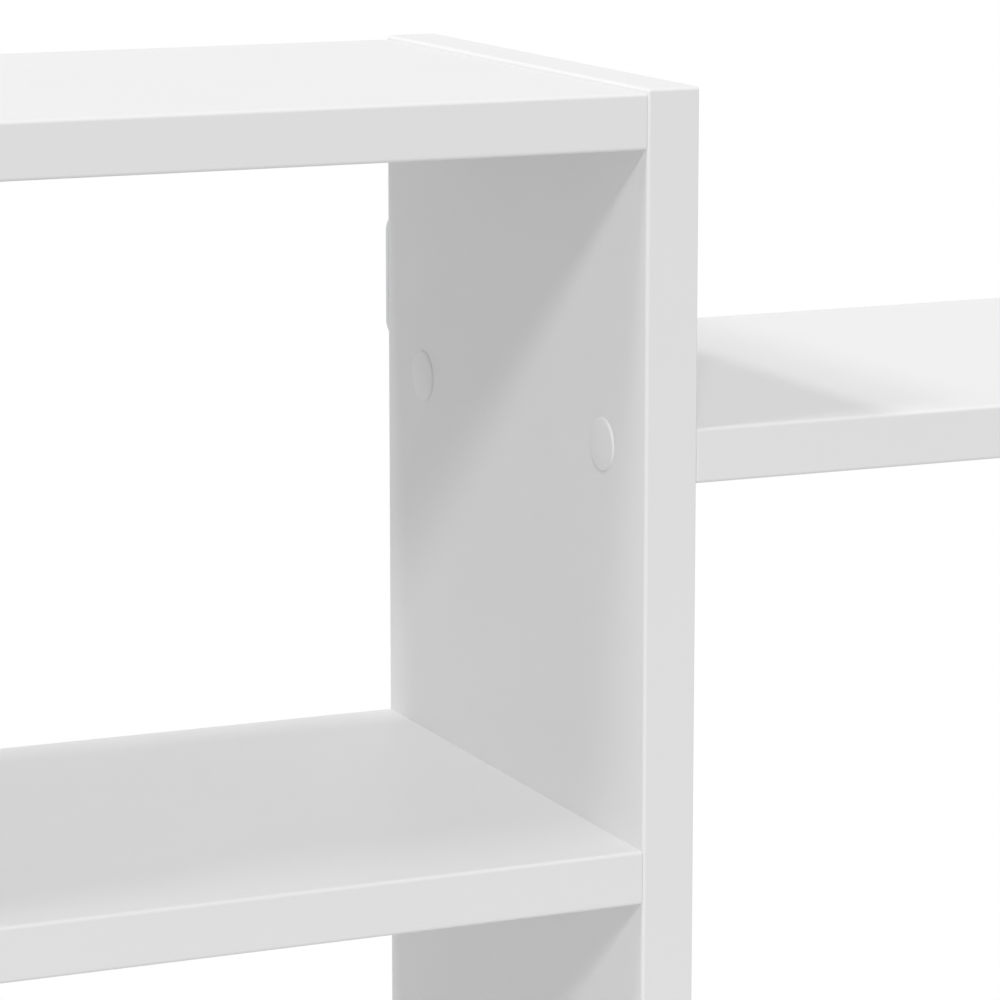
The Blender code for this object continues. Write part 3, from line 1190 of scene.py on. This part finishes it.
@dataclass
class BoardEnd:
    """One board end on a side panel: two capped screws with a dowel between them."""

    label: str
    panel: Board
    board: Board
    outward: int

    def place(self, fastener: str) -> Matrix:
        """Placement of a fastener on the panel face that its screws enter.

        Args:
            fastener: The fastener's word in its node's name.

        Returns:
            The placement, local +Z out of the panel.
        """
        low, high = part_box(f"{self.label}_{fastener}")
        panel_low, panel_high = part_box(self.panel.node)
        face = panel_high.x if self.outward > 0 else panel_low.x
        spot = Vector((face, (low.y + high.y) / 2, (low.z + high.z) / 2))
        return facing(spot, Vector((self.outward, 0.0, 0.0)))

    def add(self, fastener: str, master: Body, slot: Slot, bore: Body | None = None) -> None:
        """Put one fastener in place, and mark out its bore.

        Args:
            fastener: The fastener's word in its node's name.
            master: The fastener's master.
            slot: The record's material slot; it is not used.
            bore: The bore's tool body, if it has one.
        """
        place = self.place(fastener)
        stand_in(master, f"{self.label}_{fastener}", place)
        for piece in (self.panel, self.board) if bore else ():
            piece.drill(bore, place)

    def fit(self, masters: Masters) -> None:
        """Add the end's fasteners with their bores.

        Args:
            masters: The modelled fasteners and tool bodies.
        """
        pieces, tools = masters.pieces, masters.tools
        for row in ("front", "rear"):
            self.add(f"{row}_screw", pieces["screw"], Slot.ZINC, tools["screw"])
            self.add(f"{row}_cap", pieces["cap"], Slot.CAP)
        self.add("dowel", pieces["dowel"], Slot.BEECH, tools["dowel"])


@dataclass
class KeyholeHanger:
    """One hanger plate on a side panel's rear edge, with its two wood screws and routed pocket."""

    side: Side
    panel: Board

    def fit(self, masters: Masters) -> None:
        """Add the plate and its screws, and mark out the pocket and the bores.

        Args:
            masters: The modelled pieces and tool bodies.
        """
        node = f"{self.side.word}_hanger_plate"
        low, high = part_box(node)
        middle = Vector(((low.x + high.x) / 2, high.y, high.z - masters.hanger.reach_up))
        seat = facing(middle, Vector((0.0, 1.0, 0.0)))
        stand_in(masters.pieces["plate"], node, seat)
        self.panel.drill(masters.tools["pocket"], seat)
        for end, rise in masters.hanger.screw_rises.items():
            spot = seat @ Matrix.Translation((0.0, rise, 0.0))
            node = f"{self.side.word}_hanger_{end}_screw"
            stand_in(masters.pieces["wood_screw"], node, spot)
            self.panel.drill(masters.tools["wood_screw"], spot)


@dataclass
class Shelf:
    """The whole shelf: boards, board ends and hangers."""

    tower_boards: tuple[str, ...] = ("top_board", "middle_board", "bottom_board")
    tower_set_back: float = 0.35 * MM
    tower_end_radius: float = 0.1 * MM
    wing_end_radius: float = 0.8 * MM

    def build(self, palette: Palette) -> None:
        """Build every piece of the shelf.

        Args:
            palette: The finishes.
        """
        masters = Masters(palette)
        ends = (Face.LEFT, Face.RIGHT)
        tower = [Board(name, ends, ends, self.tower_end_radius, set_back=self.tower_set_back)
                 for name in self.tower_boards]
        boards = list(tower)
        for side, inner in zip(Side, reversed(ends)):
            outer = Face[side.name]
            panel = Board(f"{side.word}_side_panel", fine_faces=(outer, Face.REAR))
            wing = Board(f"{side.word}_wing_board", (inner,), (inner,), self.wing_end_radius)
            for board in tower:
                BoardEnd(f"{board.node}_{side.word}", panel, board, side.value).fit(masters)
            BoardEnd(f"{side.word}_wing", panel, wing, -side.value).fit(masters)
            KeyholeHanger(side, panel).fit(masters)
            boards += [panel, wing]
        masters.put_away()
        for board in boards:
            board.build(palette)


@dataclass(frozen=True)
class Lamp:
    """A broad soft lamp, far from the shelf."""

    name: str
    travel: Triple
    strength: float
    spread_deg: float
    distance: float = 2.0

    def hang(self) -> None:
        """Add the lamp to the scene."""
        bpy.ops.object.light_add(type="SUN", location=Vector(self.travel) * -self.distance)
        lamp = bpy.context.active_object
        lamp.name = self.name
        lamp.rotation_euler = Vector(self.travel).to_track_quat("-Z", "Y").to_euler()
        lamp.data.energy = self.strength
        lamp.data.angle = math.radians(self.spread_deg)


@dataclass(frozen=True)
class Studio:
    """Pale floor, white surround, soft lamps and the camera."""

    floor_drop: float = 0.78
    floor_radius: float = 1.7
    floor_steps: int = 128
    floor_fade: float = 0.6
    surround: float = 0.504
    lamps: tuple[Lamp, ...] = (
        Lamp("overhead_lamp", (0.552, -0.035, -0.833), 0.588, 6.0),
        Lamp("side_lamp", (0.679, 0.087, -0.729), 0.461, 10.0),
        Lamp("front_lamp", (0.320, 0.720, -0.616), 1.17, 9.0),
    )
    camera_place: Triple = (-0.36137, -1.21864, 0.17843)
    heading_deg: float = 23.665
    dip_deg: float = 10.886
    lens_mm: float = 158.254
    sensor_mm: float = 36.0

    def lay_floor(self, effects: Effects) -> None:
        """Lay the pale floor, which fades out into the white surround.

        Args:
            effects: The shared effects.
        """
        bpy.ops.mesh.primitive_circle_add(
            vertices=self.floor_steps, radius=self.floor_radius, fill_type="NGON",
            location=(0.0, 0.0, -self.floor_drop))
        floor = bpy.context.active_object
        floor.name = "studio_floor"
        material = Finish(
            "pale_floor", (0.88, 0.88, 0.88), (0.87, 0.87, 0.87), 0.7, 0.8,
            drift_pitch=0.4, specular=0.2).material(effects)
        coat(floor, material)
        graph = Graph(material.node_tree)
        nodes = material.node_tree.nodes
        place = graph.add("TexCoord").outputs["Object"]
        reach = graph.add("VectorMath", {0: place}, operation="LENGTH").outputs["Value"]
        share = graph.spread(reach, self.floor_fade, self.floor_radius, 1.0, 0.0)
        seen = graph.value("SUBTRACT", 1.0, graph.add("NewGeometry").outputs["Backfacing"])
        clear = graph.add("BsdfTransparent")
        mixed = graph.add("MixShader", {0: graph.value("MULTIPLY", share, seen), 1: clear.outputs[0],
                                        2: nodes["Principled BSDF"].outputs[0]})
        graph.feed(nodes["Material Output"].inputs["Surface"], mixed.outputs[0])

    def light_surround(self) -> None:
        """Set the even light from all round, and its white look behind the shelf."""
        world = bpy.data.worlds.new("studio_surround")
        bpy.context.scene.world = world
        world.use_nodes = True
        graph = Graph(world.node_tree)
        world.node_tree.nodes.clear()
        path = graph.add("LightPath")
        seen = graph.value("MAXIMUM", path.outputs["Is Camera Ray"], path.outputs["Is Glossy Ray"])
        seen = graph.value("MAXIMUM", seen, path.outputs["Is Transmission Ray"])
        glow = graph.add("Background", {"Color": (1.0, 1.0, 1.0, 1.0), "Strength": self.surround})
        white = graph.add("Background", {"Color": (1.0, 1.0, 1.0, 1.0), "Strength": 1.0})
        mixed = graph.add("MixShader", {0: seen, 1: glow.outputs[0], 2: white.outputs[0]})
        graph.add("OutputWorld", {"Surface": mixed.outputs[0]})

    def set_camera(self) -> None:
        """Set the camera at the photograph's viewing angle."""
        turn = (math.radians(90.0 - self.dip_deg), 0.0, math.radians(-self.heading_deg))
        bpy.ops.object.camera_add(location=self.camera_place, rotation=turn)
        camera = bpy.context.active_object
        camera.name = "studio_camera"
        camera.data.lens = self.lens_mm
        camera.data.sensor_width = self.sensor_mm
        bpy.context.scene.camera = camera

    def build(self, effects: Effects) -> None:
        """Build the whole studio.

        Args:
            effects: The shared effects.
        """
        self.lay_floor(effects)
        self.light_surround()
        for lamp in self.lamps:
            lamp.hang()
        self.set_camera()
        bpy.context.scene.view_settings.view_transform = "Standard"


def main() -> None:
    """Build the shelf's looks and its studio."""
    logging.basicConfig(level=logging.INFO, format="%(name)s: %(message)s")
    effects = Effects()
    Shelf().build(Palette(effects))
    Studio().build(effects)


if __name__ == "__main__":
    main()
